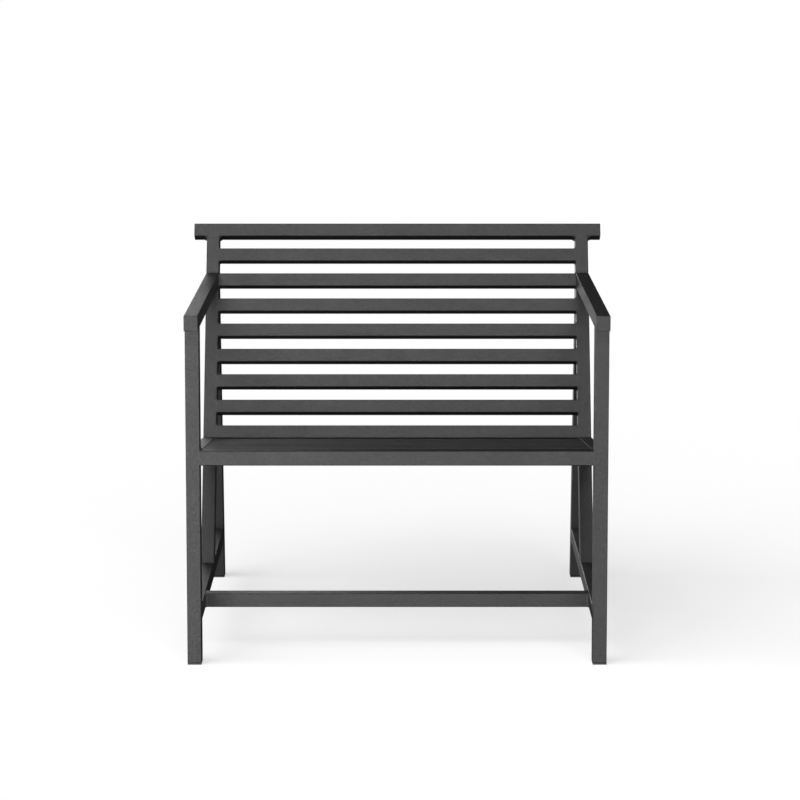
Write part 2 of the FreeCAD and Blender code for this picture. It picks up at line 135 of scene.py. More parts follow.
class WeldSettings(bpy.types.PropertyGroup):
    """Weld beads at the ends of the rails, slats and crossbar."""

    top_leg: FloatProperty(
        name="Top rail", description="Leg of the beads under the top rail", unit="LENGTH", default=0.005)
    slat_leg: FloatProperty(
        name="Slats", description="Leg of the beads at the back slats' ends", unit="LENGTH", default=0.0025)
    front_leg: FloatProperty(
        name="Front rail", description="Leg of the beads on the front seat rail", unit="LENGTH",
        default=0.004)
    crossbar_leg: FloatProperty(
        name="Crossbar", description="Leg of the beads at the crossbar's ends", unit="LENGTH", default=0.004)
    flush: FloatProperty(
        name="Flush fill", description="Leg of a bead ground flush, over the corner radius", default=0.8)
    throat: FloatProperty(
        name="Throat", description="Middle of a bead's face from the corner, over its leg", default=0.345)
    ripple: FloatProperty(
        name="Ripple", description="Distance between the ripples of a bead", unit="LENGTH", default=0.0022)
    ripple_height: FloatProperty(
        name="Ripple height", description="Height of a ripple over the bead's leg", default=0.05)
    face_steps: IntProperty(
        name="Face steps", description="Points across the face of a bead", min=2, default=7)
    steps_per_ripple: IntProperty(
        name="Steps per ripple", description="Points along each ripple", min=2, default=6)


class GlideSettings(bpy.types.PropertyGroup):
    """Nylon glides in the feet of the legs."""

    colour: FloatVectorProperty(
        name="Colour", description="Grey of the nylon", subtype="COLOR", size=3, min=0, max=1,
        default=(0.13, 0.13, 0.13))
    roughness: FloatProperty(
        name="Roughness", description="Middle roughness of the nylon", subtype="FACTOR", min=0, max=1,
        default=0.5)
    roughness_spread: FloatProperty(
        name="Roughness spread", description="How far the fine texture differs in roughness",
        subtype="FACTOR", default=0.06)
    gloss: FloatProperty(
        name="Gloss", description="Specular level of the nylon", subtype="FACTOR", min=0, max=1, default=0.4)
    texture: FloatProperty(
        name="Texture", description="Size of the nylon's fine texture", unit="LENGTH", default=0.0005)
    texture_height: FloatProperty(
        name="Texture height", description="Height of the fine texture", unit="LENGTH", default=0.00003)
    flow: FloatProperty(
        name="Flow marks", description="Size of the nylon's flow marks", unit="LENGTH", default=0.01)
    flow_depth: FloatProperty(
        name="Flow depth", description="How far the flow marks differ in tone", subtype="FACTOR",
        default=0.06)
    edge: FloatProperty(
        name="Edge", description="Rounding of the foot's lower edge", unit="LENGTH", default=0.0004)
    edge_steps: IntProperty(
        name="Edge steps", description="Faces across that rounding", min=1, default=4)
    groove: FloatProperty(
        name="Groove", description="Height of the groove between the foot and its leg", unit="LENGTH",
        default=0.0014)
    groove_depth: FloatProperty(
        name="Groove depth", description="Depth of that groove, less than the leg's wall", unit="LENGTH",
        default=0.0017)
    # The nylon's darker tone in the groove is painted shade, standing in for the shade in that recess under
    # the leg.
    painted_groove_shade: FloatProperty(
        name="Groove tone", description="How light the nylon is in that groove, where grime gathers",
        subtype="FACTOR", min=0, max=1, default=0.05)
    groove_roughness: FloatProperty(
        name="Groove roughness", description="How much rougher the nylon is in that groove", subtype="FACTOR",
        default=0.45)
    core_inset: FloatProperty(
        name="Core inset", description="Outside of the leg to the plug's core", unit="LENGTH", default=0.0035)
    rib_inset: FloatProperty(
        name="Rib inset", description="Outside of the leg to the plug's ribs", unit="LENGTH", default=0.0021)
    rib_height: FloatProperty(
        name="Rib height", description="Height of a rib on the plug", unit="LENGTH", default=0.002)
    rib_count: IntProperty(
        name="Ribs", description="Ribs on the plug", min=0, default=3)


class StageSettings(bpy.types.PropertyGroup):
    """Floor, backdrop, lamps and camera."""

    camera_side: FloatProperty(
        name="Camera sideways", description="Camera right of the chair's middle", unit="LENGTH",
        default=0.0052)
    camera_distance: FloatProperty(
        name="Camera distance", description="Camera in front of the front legs", unit="LENGTH",
        default=5.8812)
    camera_height: FloatProperty(
        name="Camera height", description="Camera above the floor", unit="LENGTH", default=1.3402)
    camera_pitch: FloatProperty(
        name="Camera pitch", description="How far the camera looks down", subtype="ANGLE",
        default=math.radians(8.331))
    camera_lens: FloatProperty(
        name="Camera lens", description="Focal length on a 36 mm sensor", subtype="DISTANCE_CAMERA",
        default=151.2)
    floor_radius: FloatProperty(
        name="Floor radius", description="Radius of the floor", unit="LENGTH", default=40)
    shadow_depth: FloatProperty(
        name="Shadow depth", description="Share of the floor's white that the chair can shade",
        subtype="FACTOR", min=0, max=1, default=0.365)
    shadow_softness: FloatProperty(
        name="Shadow softness", description="Angle over which the floor's lamps spread", subtype="ANGLE",
        default=math.radians(55))
    lamp_share: FloatProperty(
        name="Lamps", description="Strength of all lamps on the chair, over their own", default=1)
    reflected: FloatProperty(
        name="Reflected white", description="Share of the white surroundings that reflections show",
        subtype="FACTOR", min=0, max=1, default=0.01)


class ChairSettings(bpy.types.PropertyGroup):
    """All settings of the chair."""

    coat: PointerProperty(type=CoatSettings)
    slats: PointerProperty(type=SlatSettings)
    welds: PointerProperty(type=WeldSettings)
    glides: PointerProperty(type=GlideSettings)
    stage: PointerProperty(type=StageSettings)


class SlatRow(NamedTuple):
    """Row of equal slats, read from the frame.

    place has X along the slats, Y from their face into their thickness and Z from the first slat to the last,
    and its origin is the middle of the first slat's face.
    """

    place: Matrix
    count: int
    pitch: float
    length: float
    face: float
    thickness: float


class Seam(NamedTuple):
    """Line of a weld: where it starts, which way it runs and the two faces that it joins."""

    start: Vector
    run: Vector
    one_face: Vector
    other_face: Vector


class Lamp(NamedTuple):
    """Soft rectangular lamp for the chair. Its azimuth is counted from the front, negative on the left."""

    azimuth: float
    elevation: float
    width: float
    height: float
    power: float


LAMPS = {
    "low_left_lamp": Lamp(azimuth=-20, elevation=-8, width=1.4, height=1, power=27.5),
    "low_front_lamp": Lamp(azimuth=0, elevation=-8, width=1.4, height=1, power=12),
    "low_right_lamp": Lamp(azimuth=20, elevation=-8, width=1.4, height=1, power=12.5),
    "high_front_lamp": Lamp(azimuth=-12, elevation=45, width=4, height=1, power=53),
    "back_left_lamp": Lamp(azimuth=-150, elevation=1, width=1.6, height=1, power=34),
    "grazing_lamp": Lamp(azimuth=-165, elevation=11, width=1.6, height=1.6, power=16.5),
    "top_lamp": Lamp(azimuth=0, elevation=89, width=1.5, height=1.5, power=2),
    "back_high_left_lamp": Lamp(azimuth=-135, elevation=50, width=2, height=1.4, power=6),
    "back_high_right_lamp": Lamp(azimuth=135, elevation=50, width=2, height=1.4, power=4),
    "left_fill": Lamp(azimuth=-95, elevation=0, width=2, height=1.4, power=20),
    "right_fill": Lamp(azimuth=95, elevation=0, width=2, height=1.4, power=8),
    "left_front_fill": Lamp(azimuth=-60, elevation=5, width=2, height=1, power=40),
    "right_front_fill": Lamp(azimuth=60, elevation=5, width=2, height=1, power=32),
    "left_under_fill": Lamp(azimuth=-105, elevation=-45, width=2, height=1.4, power=5),
    "right_under_fill": Lamp(azimuth=105, elevation=-45, width=2, height=1.4, power=5),
}
LAMP_DISTANCE = 4
LAMP_AIM = Vector((0, 0, 0.4))

FLOOR_LAMPS = {
    "floor_left_lamp": (-62, 33),
    "floor_front_lamp": (-8, 35),
}


def numbered(stem):
    """Names of the frame's nodes that are this stem and a number, in order."""
    return sorted(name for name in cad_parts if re.fullmatch(rf"{stem}_\d+", name))


def middle(box):
    """Middle of a box of two corners."""
    return (box[0] + box[1]) / 2


def tube_section(box, along, corner):
    """Face along a direction, and thickness across it, of a rounded tube that runs across the chair."""
    size = box[1] - box[0]
    run, rise = abs(along.y), abs(along.z)
    trim = 2 * corner * (run + rise - 1)
    depth, height = size.y + trim, size.z + trim
    spread = run ** 2 - rise ** 2
    return (depth * run - height * rise) / spread, (height * run - depth * rise) / spread


def read_row(names, corner):
    """Row of slats that these nodes make."""
    boxes = [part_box(name) for name in names]
    step = (middle(boxes[-1]) - middle(boxes[0])) / (len(names) - 1)
    along = step.normalized()
    inward = along.cross(ACROSS)
    face, thickness = tube_section(boxes[0], along, corner)
    start = middle(boxes[0]) - inward * thickness / 2
    turn = Matrix((ACROSS, inward, along)).transposed().to_4x4()
    length = boxes[0][1].x - boxes[0][0].x
    return SlatRow(Matrix.Translation(start) @ turn, len(names), step.length, length, face, thickness)


def back_row(corner):
    """Row of the back slats, from the lowest one up."""
    return read_row(numbered("back_slat")[::-1], corner)


def seat_row(corner):
    """Row of the seat slats, from the front one to the rear."""
    return read_row(numbered("seat_slat"), corner)


def add_node(tree, kind, inputs=None, **settings):
    """Node of a tree with these settings. An input that is a socket is linked, and any other is a value."""
    node = tree.nodes.new(kind)
    for key, value in settings.items():
        setattr(node, key, value)
    for key, value in (inputs or {}).items():
        if isinstance(value, bpy.types.NodeSocket):
            tree.links.new(value, node.inputs[key])
        else:
            node.inputs[key].default_value = value
    return node


def calculate(tree, operation, *terms):
    """Result of a Math node on sockets or numbers."""
    return add_node(tree, "ShaderNodeMath", dict(enumerate(terms)), operation=operation).outputs[0]


def new_tree(name, inputs):
    """Empty geometry tree with named inputs, and its input node's sockets by name."""
    tree = bpy.data.node_groups.new(name, "GeometryNodeTree")
    for label, kind in inputs.items():
        tree.interface.new_socket(label, in_out="INPUT", socket_type=f"NodeSocket{kind}")
    tree.interface.new_socket("Geometry", in_out="OUTPUT", socket_type="NodeSocketGeometry")
    entry = tree.nodes.new("NodeGroupInput")
    return tree, {label: entry.outputs[label] for label in inputs}


def end_tree(tree, instances, material):
    """Close a tree: real geometry with its material."""
    real = add_node(tree, "GeometryNodeRealizeInstances", {"Geometry": instances})
    painted = add_node(tree, "GeometryNodeSetMaterial", {"Geometry": real.outputs[0], "Material": material})
    add_node(tree, "NodeGroupOutput", {"Geometry": painted.outputs[0]})


def grow(tree, inputs, seed=None):
    """Plain mesh that a geometry tree makes from these inputs, and from a seed mesh where it needs one."""
    carrier = bpy.data.objects.new(tree.name, seed or bpy.data.meshes.new(tree.name))
    bpy.context.scene.collection.objects.link(carrier)
    modifier = carrier.modifiers.new(tree.name, "NODES")
    modifier.node_group = tree
    for item in tree.interface.items_tree:
        if item.in_out == "INPUT" and item.name in inputs:
            modifier[item.identifier] = inputs[item.name]
    view = bpy.context.evaluated_depsgraph_get()
    mesh = bpy.data.meshes.new_from_object(carrier.evaluated_get(view), depsgraph=view)
    bpy.data.objects.remove(carrier)
    mesh.materials.pop(index=0)  # the empty slot that Set Material leaves before its own
    return mesh


def new_piece(name, mesh, nodes):
    """Finished piece that rides on the chair and stands for nodes of the frame."""
    mesh.name = name
    piece = bpy.data.objects.new(name, mesh)
    bpy.context.scene.collection.objects.link(piece)
    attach(piece, BODY)
    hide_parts(*nodes)


def new_material(name):
    """Empty material, its tree and its output node."""
    material = bpy.data.materials.new(name)
    material.use_nodes = True
    tree = material.node_tree
    tree.nodes.clear()
    return material, tree, tree.nodes.new("ShaderNodeOutputMaterial")


def own_coordinates(tree):
    """The object's own coordinates."""
    return add_node(tree, "ShaderNodeTexCoord").outputs["Object"]


def noise(tree, size, detail):
    """Noise on the object's own coordinates, with features of about this size."""
    inputs = {"Vector": own_coordinates(tree), "Scale": 1 / size, "Detail": detail}
    return add_node(tree, "ShaderNodeTexNoise", inputs).outputs[0]


def around(tree, factor, centre, spread):
    """Spread a noise evenly about a centre."""
    inputs = {
        "Value": factor, "From Min": NOISE_LOW, "From Max": NOISE_HIGH,
        "To Min": centre - spread, "To Max": centre + spread}
    return add_node(tree, "ShaderNodeMapRange", inputs).outputs[0]


def bumps(tree, *layers):
    """Normal roughened by layers of a noise and its height."""
    inputs = {}
    for height_map, height in layers:
        inputs.update({"Height": height_map, "Distance": height, "Strength": 1})
        inputs["Normal"] = add_node(tree, "ShaderNodeBump", inputs).outputs[0]
    return inputs["Normal"]


def edge_share(tree, width):
    """How close a point is to an edge: 0 on a flat face and 1 on a sharp edge."""
    rounded = add_node(tree, "ShaderNodeBevel", {"Radius": width}, samples=BEVEL_SAMPLES).outputs[0]
    flat = add_node(tree, "ShaderNodeNewGeometry").outputs["Normal"]
    facing = add_node(tree, "ShaderNodeVectorMath", {0: rounded, 1: flat}, operation="DOT_PRODUCT")
    inputs = {
        "Value": facing.outputs["Value"], "From Min": 1, "From Max": EDGE_FACING, "To Min": 0, "To Max": 1}
    return add_node(tree, "ShaderNodeMapRange", inputs).outputs[0]


def tinted(tree, colour, tone):
    """A colour made lighter or darker by a tone."""
    inputs = {0: tuple(colour), "Scale": tone}
    return add_node(tree, "ShaderNodeVectorMath", inputs, operation="SCALE").outputs[0]


def powder_coat(coat):
    """Fine-texture powder coat: small grains on faint waves, a little lighter where it is thin on edges."""
    made = bpy.data.materials.get("fine_texture_powder_coat")
    if made:
        return made
    material, tree, output = new_material("fine_texture_powder_coat")
    grains = noise(tree, coat.grain, detail=2)
    waves = noise(tree, coat.peel, detail=1)
    clouds = noise(tree, coat.cloud, detail=3)
    speckle = around(tree, grains, 1, coat.speckle)
    areas = around(tree, clouds, 1, coat.cloud_depth)
    wear = calculate(tree, "MULTIPLY_ADD", edge_share(tree, coat.edge), coat.edge_wear, 1)
    tone = calculate(tree, "MULTIPLY", calculate(tree, "MULTIPLY", speckle, areas), wear)
    shader = add_node(tree, "ShaderNodeBsdfPrincipled", {
        "Base Color": tinted(tree, coat.colour, tone),
        "Roughness": around(tree, waves, coat.roughness, coat.roughness_spread),
        "Metallic": coat.flakes,
        "Normal": bumps(tree, (waves, coat.peel_height), (grains, coat.grain_height)),
    })
    tree.links.new(shader.outputs[0], output.inputs["Surface"])
    return material


def moulded_nylon(glides, ledge):
    """Moulded nylon with a faint spark-eroded texture, with painted shade darkening it in the groove above
    the foot's ledge.
    """
    material, tree, output = new_material("moulded_nylon")
    texture = noise(tree, glides.texture, detail=2)
    flow = noise(tree, glides.flow, detail=2)
    level = add_node(tree, "ShaderNodeSeparateXYZ", {0: own_coordinates(tree)}).outputs["Z"]
    # Painted shade: above the ledge the nylon is darkened, and it is also made rougher there.
    painted_shade = calculate(tree, "GREATER_THAN", level, ledge - TOUCH)
    shade = calculate(tree, "MULTIPLY_ADD", painted_shade, glides.painted_groove_shade - 1, 1)
    tone = calculate(tree, "MULTIPLY", shade, around(tree, flow, 1, glides.flow_depth))
    rough = around(tree, texture, glides.roughness, glides.roughness_spread)
    shader = add_node(tree, "ShaderNodeBsdfPrincipled", {
        "Base Color": tinted(tree, glides.colour, tone),
        "Roughness": calculate(tree, "MULTIPLY_ADD", painted_shade, glides.groove_roughness, rough),
        "Specular IOR Level": glides.gloss,
        "Normal": bumps(tree, (texture, glides.texture_height)),
    })
    tree.links.new(shader.outputs[0], output.inputs["Surface"])
    return material


def slat_tree():
    """Tree for a row of slats: a rounded tube section swept along X and repeated along Z."""
    tree, size = new_tree("slat_row", {
        "Count": "Int", "Pitch": "Float", "Length": "Float", "Face": "Float", "Thickness": "Float",
        "Corner": "Float", "Corner Steps": "Int", "Material": "Material"})
    section = add_node(tree, "GeometryNodeCurvePrimitiveQuadrilateral",
                       {"Width": size["Thickness"], "Height": size["Face"]})
    rounded = add_node(tree, "GeometryNodeFilletCurve",
                       {"Curve": section.outputs[0], "Count": size["Corner Steps"], "Radius": size["Corner"]},
                       mode="POLY")
    half = calculate(tree, "DIVIDE", size["Length"], 2)
    depth = calculate(tree, "DIVIDE", size["Thickness"], 2)
    left = add_node(tree, "ShaderNodeCombineXYZ", {"X": calculate(tree, "MULTIPLY", half, -1), "Y": depth})
    right = add_node(tree, "ShaderNodeCombineXYZ", {"X": half, "Y": depth})
    line = add_node(tree, "GeometryNodeCurvePrimitiveLine",
                    {"Start": left.outputs[0], "End": right.outputs[0]})
    tube = add_node(tree, "GeometryNodeCurveToMesh",
                    {"Curve": line.outputs[0], "Profile Curve": rounded.outputs[0], "Fill Caps": True})
    area = add_node(tree, "GeometryNodeInputMeshFaceArea").outputs[0]
    broad = calculate(tree, "GREATER_THAN", area, calculate(tree, "MULTIPLY", size["Length"], size["Corner"]))
    slat = add_node(tree, "GeometryNodeSetShadeSmooth",
                    {0: tube.outputs[0], "Selection": broad, "Shade Smooth": False})
    step = add_node(tree, "ShaderNodeCombineXYZ", {"Z": size["Pitch"]})
    places = add_node(tree, "GeometryNodeMeshLine", {"Count": size["Count"], "Offset": step.outputs[0]})
    slats = add_node(tree, "GeometryNodeInstanceOnPoints",
                     {"Points": places.outputs[0], "Instance": slat.outputs[0]})
    end_tree(tree, slats.outputs[0], size["Material"])
    return tree


def make_slats(settings, name, row, nodes):
    """Piece for one row of slats, in place of its nodes."""
    tree = bpy.data.node_groups.get("slat_row") or slat_tree()
    mesh = grow(tree, {
        "Count": row.count, "Pitch": row.pitch, "Length": row.length, "Face": row.face,
        "Thickness": row.thickness, "Corner": settings.slats.corner,
        "Corner Steps": settings.slats.corner_steps, "Material": powder_coat(settings.coat)})
    mesh.transform(row.place)
    new_piece(name, mesh, nodes)


def weld_profile(tree, size):
    """Closed section of a bead: the corner, and a hollow face from one leg to the other.

    The face is a quadratic curve whose middle lies at the throat, for a leg of 1. Its control point follows
    from that.
    """
    control = calculate(tree, "MULTIPLY_ADD", size["Throat"], 2, -0.5)
    points = calculate(tree, "ADD", size["Face Steps"], 1)
    line = add_node(tree, "GeometryNodeMeshLine", {"Count": points})
    index = add_node(tree, "GeometryNodeInputIndex").outputs[0]
    last = calculate(tree, "SUBTRACT", size["Face Steps"], 1)
    along = calculate(tree, "DIVIDE", calculate(tree, "SUBTRACT", index, 1), last)
    rest = calculate(tree, "SUBTRACT", 1, along)
    bend = calculate(tree, "MULTIPLY", calculate(tree, "MULTIPLY", along, rest), 2)
    hollow = calculate(tree, "MULTIPLY", bend, control)
    on_face = calculate(tree, "GREATER_THAN", index, 0)
    legs = []
    for share in (along, rest):
        reach = calculate(tree, "MULTIPLY_ADD", share, share, hollow)
        legs.append(calculate(tree, "MULTIPLY", calculate(tree, "MULTIPLY", reach, on_face), size["Leg"]))
    place = add_node(tree, "ShaderNodeCombineXYZ",
                     {"X": legs[0], "Y": calculate(tree, "MULTIPLY", legs[1], -1)})
    bent = add_node(tree, "GeometryNodeSetPosition",
                    {"Geometry": line.outputs[0], "Position": place.outputs[0]})
    curve = add_node(tree, "GeometryNodeMeshToCurve", {"Mesh": bent.outputs[0]})
    closed = add_node(tree, "GeometryNodeSetSplineCyclic", {"Geometry": curve.outputs[0], "Cyclic": True})
    return closed.outputs[0]


def weld_tree():
    """Tree for weld beads: a rippled fillet along Y, set at every point of the seed mesh."""
    tree, size = new_tree("weld_beads", {
        "Seams": "Geometry", "Leg": "Float", "Length": "Float", "Throat": "Float", "Ripple": "Float",
        "Ripple Height": "Float", "Face Steps": "Int", "Run Steps": "Int", "Material": "Material"})
    end = add_node(tree, "ShaderNodeCombineXYZ", {"Y": size["Length"]})
    line = add_node(tree, "GeometryNodeCurvePrimitiveLine", {"End": end.outputs[0]})
    path = add_node(tree, "GeometryNodeResampleCurve", {"Curve": line.outputs[0], "Count": size["Run Steps"]})
    travelled = add_node(tree, "GeometryNodeSplineParameter").outputs["Length"]
    phase = calculate(tree, "MULTIPLY", calculate(tree, "DIVIDE", travelled, size["Ripple"]), 2 * math.pi)
    swell = calculate(tree, "MULTIPLY_ADD", calculate(tree, "SINE", phase), size["Ripple Height"], 1)
    bead = add_node(tree, "GeometryNodeCurveToMesh", {
        "Curve": path.outputs[0], "Profile Curve": weld_profile(tree, size), "Scale": swell,
        "Fill Caps": True})
    turn = add_node(tree, "GeometryNodeInputNamedAttribute", {"Name": "turn"}, data_type="FLOAT_VECTOR")
    rotation = add_node(tree, "FunctionNodeEulerToRotation", {"Euler": turn.outputs[0]})
    beads = add_node(tree, "GeometryNodeInstanceOnPoints", {
        "Points": size["Seams"], "Instance": bead.outputs[0], "Rotation": rotation.outputs[0]})
    end_tree(tree, beads.outputs[0], size["Material"])
    return tree


def seam_mesh(seams):
    """Seed mesh with a point at the start of each seam, and the turn that lays a bead along it."""
    mesh = bpy.data.meshes.new("seams")
    mesh.from_pydata([seam.start for seam in seams], [], [])
    turns = mesh.attributes.new("turn", "FLOAT_VECTOR", "POINT")
    for seam, turn in zip(seams, turns.data):
        faces = (seam.one_face, seam.other_face)
        if faces[0].cross(seam.run).dot(faces[1]) < 0:
            faces = faces[::-1]
        turn.vector = Matrix((faces[0], seam.run, faces[1])).transposed().to_euler()
    return mesh


def bead_mesh(settings, seams, leg, length, ground=False):
    """Mesh of equal beads along these seams. A bead that is ground has no ripples."""
    welds = settings.welds
    tree = bpy.data.node_groups.get("weld_beads") or weld_tree()
    return grow(tree, {
        "Leg": leg, "Length": length, "Throat": welds.throat, "Ripple": welds.ripple,
        "Ripple Height": 0.0 if ground else welds.ripple_height, "Face Steps": welds.face_steps,
        "Run Steps": 2 if ground else max(2, round(length / welds.ripple * welds.steps_per_ripple)),
        "Material": powder_coat(settings.coat)}, seam_mesh(seams))


def joined(meshes):
    """One mesh of several that have the same material."""
    whole = bmesh.new()
    for mesh in meshes:
        whole.from_mesh(mesh)
    result = bpy.data.meshes.new("joined")
    whole.to_mesh(result)
    whole.free()
    result.set_sharp_from_angle(angle=SHARP)
    result.materials.append(meshes[0].materials[0])
    return result


def flush_seams(starts, run, inward):
    """Seams in the rounded front corners of the side frames, beside the ends of a member."""
    return [Seam(start, run, ACROSS * math.copysign(1, start.x), inward) for start in starts]


def weld_slats(settings):
    """Beads above and below both ends of every back slat, and ground flush in front of them."""
    corner = settings.slats.corner
    row = back_row(corner)
    inward, along = (row.place.col[column].to_3d() for column in (1, 2))
    beads = []
    fronts = []
    for index in range(row.count):
        slat = row.place.translation + along * row.pitch * index
        for sign in SIGNS:
            end = slat + ACROSS * sign * row.length / 2
            for edge in SIGNS:
                beads.append(Seam(end + along * edge * row.face / 2, inward, -sign * ACROSS, edge * along))
            fronts.append(end - along * (row.face / 2 - corner))
    return [
        bead_mesh(settings, beads, settings.welds.slat_leg, row.thickness),
        bead_mesh(settings, flush_seams(fronts, along, inward), settings.welds.flush * corner,
                  row.face - 2 * corner, ground=True),
    ]


def weld_top_rail(settings):
    """Beads under the top rail, on both sides of each post, and ground flush across the posts' fronts."""
    corner = settings.slats.corner
    row = back_row(corner)
    inward, along = (row.place.col[column].to_3d() for column in (1, 2))
    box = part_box("top_rail")
    face, thickness = tube_section(box, along, corner)
    edge = middle(box) - inward * thickness / 2 - along * face / 2
    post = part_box("back_post_left")
    width = post[1].x - post[0].x
    beads = []
    fronts = []
    for side in SIDES:
        low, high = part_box(f"back_post_{side}")
        beads.append(Seam(edge + ACROSS * low.x, inward, -ACROSS, -along))
        beads.append(Seam(edge + ACROSS * high.x, inward, ACROSS, -along))
        fronts.append(Seam(edge + ACROSS * (low.x + corner), ACROSS, inward, along))
    return [
        bead_mesh(settings, beads, settings.welds.top_leg, thickness),
        bead_mesh(settings, fronts, settings.welds.flush * corner, width - 2 * corner, ground=True),
    ]


def weld_front_rail(settings):
    """Beads on top of the front seat rail's ends, and ground flush in front of them."""
    corner = settings.slats.corner
    low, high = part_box("front_seat_rail")
    tops = [Vector((x, low.y, high.z)) for x in (low.x, high.x)]
    beads = [Seam(top, BACKWARDS, ACROSS * -math.copysign(1, top.x), UP) for top in tops]
    fronts = [Vector((x, low.y, low.z + corner)) for x in (low.x, high.x)]
    return [
        bead_mesh(settings, beads, settings.welds.front_leg, high.y - low.y),
        bead_mesh(settings, flush_seams(fronts, UP, BACKWARDS), settings.welds.flush * corner,
                  high.z - low.z - 2 * corner, ground=True),
    ]


def weld_crossbar(settings):
    """Upright beads before and behind both ends of the lower crossbar."""
    low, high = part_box("lower_crossbar")
    beads = []
    for x in (low.x, high.x):
        inside = ACROSS * -math.copysign(1, x)
        beads.append(Seam(Vector((x, low.y, low.z)), UP, inside, -BACKWARDS))
        beads.append(Seam(Vector((x, high.y, low.z)), UP, inside, BACKWARDS))
    return [bead_mesh(settings, beads, settings.welds.crossbar_leg, high.z - low.z)]


def ends(points, axis):
    """Least and greatest of the points' coordinates on one axis."""
    values = [point[axis] for point in points]
    return min(values), max(values)


def glide_profile(glides, height, top):
    """Heights and insets up the side of a glide: foot, groove, then the plug with its ribs."""
    angles = [math.pi / 2 * step / glides.edge_steps for step in range(glides.edge_steps + 1)]
    profile = [(glides.edge * (1 - math.cos(turn)), glides.edge * (1 - math.sin(turn))) for turn in angles]
    ledge = height - glides.groove
    profile += [(ledge, 0), (ledge, glides.groove_depth),
                (height, glides.groove_depth), (height, glides.core_inset)]
    pitch = (top - height) / (glides.rib_count + 1)
    for index in range(1, glides.rib_count + 1):
        low = height + index * pitch
        high = low + glides.rib_height
        profile += [(low, glides.core_inset), (low, glides.rib_inset),
                    (high, glides.rib_inset), (high, glides.core_inset)]
    return profile + [(top, glides.core_inset)]


def glide_mesh(glides, node, leg):
    """Mesh of one glide, on the outline that its node has on the floor and leaning with its leg."""
    points = [vertex.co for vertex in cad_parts[node].data.vertices]
    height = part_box(leg)[0].z
    floor = {(round(point.x, DECIMALS), round(point.y, DECIMALS)) for point in points if point.z < TOUCH}
    shoulder = [point.y for point in points if abs(point.z - height) < TOUCH]
    centre = Vector((sum(ends(floor, 0)), sum(ends(floor, 1)))) / 2
    reach = [(ends(floor, axis)[1] - ends(floor, axis)[0]) / 2 for axis in (0, 1)]
    lean = ((min(shoulder) + max(shoulder)) / 2 - centre.y) / height
    outline = sorted(floor, key=lambda point: math.atan2(point[1] - centre.y, point[0] - centre.x))
    shape = bmesh.new()
    rings = []
    for level, inset in glide_profile(glides, height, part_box(node)[1].z):
        ring = []
        for x, y in outline:
            across = centre.x + (x - centre.x) * (1 - inset / reach[0])
            back = centre.y + (y - centre.y) * (1 - inset / reach[1]) + lean * level
            ring.append(shape.verts.new((across, back, level)))
        rings.append(ring)
    for lower, upper in zip(rings, rings[1:]):
        for index in range(len(outline)):
            after = (index + 1) % len(outline)
            shape.faces.new((lower[index], lower[after], upper[after], upper[index]))
    shape.faces.new(rings[0][::-1])
    shape.faces.new(rings[-1])
    mesh = bpy.data.meshes.new(node)
    shape.to_mesh(mesh)
    shape.free()
    return mesh


def direction(azimuth, elevation):
    """Direction with an azimuth from the front, negative on the left, and an elevation, both in degrees."""
    turn = math.radians(azimuth)
    rise = math.radians(elevation)
    return Vector((math.sin(turn) * math.cos(rise), -math.cos(turn) * math.cos(rise), math.sin(rise)))


def add_light(name, kind, place, aim):
    """Light that points from a place to its aim."""
    lamp = bpy.data.objects.new(name, bpy.data.lights.new(name, kind))
    lamp.location = place
    lamp.rotation_euler = (aim - place).to_track_quat("-Z", "Y").to_euler()
    bpy.context.scene.collection.objects.link(lamp)
    return lamp


def add_lamp(name, lamp, share):
    """Soft rectangular lamp that faces the middle of the chair."""
    place = LAMP_AIM + direction(lamp.azimuth, lamp.elevation) * LAMP_DISTANCE
    panel = add_light(name, "AREA", place, LAMP_AIM)
    panel.data.shape = "RECTANGLE"
    panel.data.size = lamp.width
    panel.data.size_y = lamp.height
    panel.data.energy = lamp.power * share
    return panel


def floor_group(name, floor, link_state):
    """Collection that puts only the floor in a light's reach, or keeps only the floor out of it."""
    group = bpy.data.collections.new(name)
    group.objects.link(floor)
    group.collection_objects[0].light_linking.link_state = link_state
    return group


def set_camera(stage):
    """Camera at the picture's viewing angle."""
    camera = bpy.data.objects.new("camera", bpy.data.cameras.new("camera"))
    camera.data.lens = stage.camera_lens
    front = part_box("front_leg_left")[0].y
    camera.location = (stage.camera_side, front - stage.camera_distance, stage.camera_height)
    camera.rotation_euler = (math.pi / 2 - stage.camera_pitch, 0, 0)
    bpy.context.scene.collection.objects.link(camera)
    bpy.context.scene.camera = camera


def reflected_white(tree, stage):
    """Strength of the white surroundings in reflections and through glass."""
    path = add_node(tree, "ShaderNodeLightPath").outputs
    mirrored = calculate(tree, "MAXIMUM", path["Is Glossy Ray"], path["Is Transmission Ray"])
    return calculate(tree, "MULTIPLY", mirrored, stage.reflected)


def set_backdrop(stage):
    """White surroundings that the camera sees in full and reflections see in part."""
    world = bpy.data.worlds.new("white_backdrop")
    world.use_nodes = True
    tree = world.node_tree
    tree.nodes.clear()
    seen = add_node(tree, "ShaderNodeLightPath").outputs["Is Camera Ray"]
    strength = calculate(tree, "ADD", seen, reflected_white(tree, stage))
    light = add_node(tree, "ShaderNodeBackground", {"Color": (1, 1, 1, 1), "Strength": strength})
    add_node(tree, "ShaderNodeOutputWorld", {"Surface": light.outputs[0]})
    bpy.context.scene.world = world


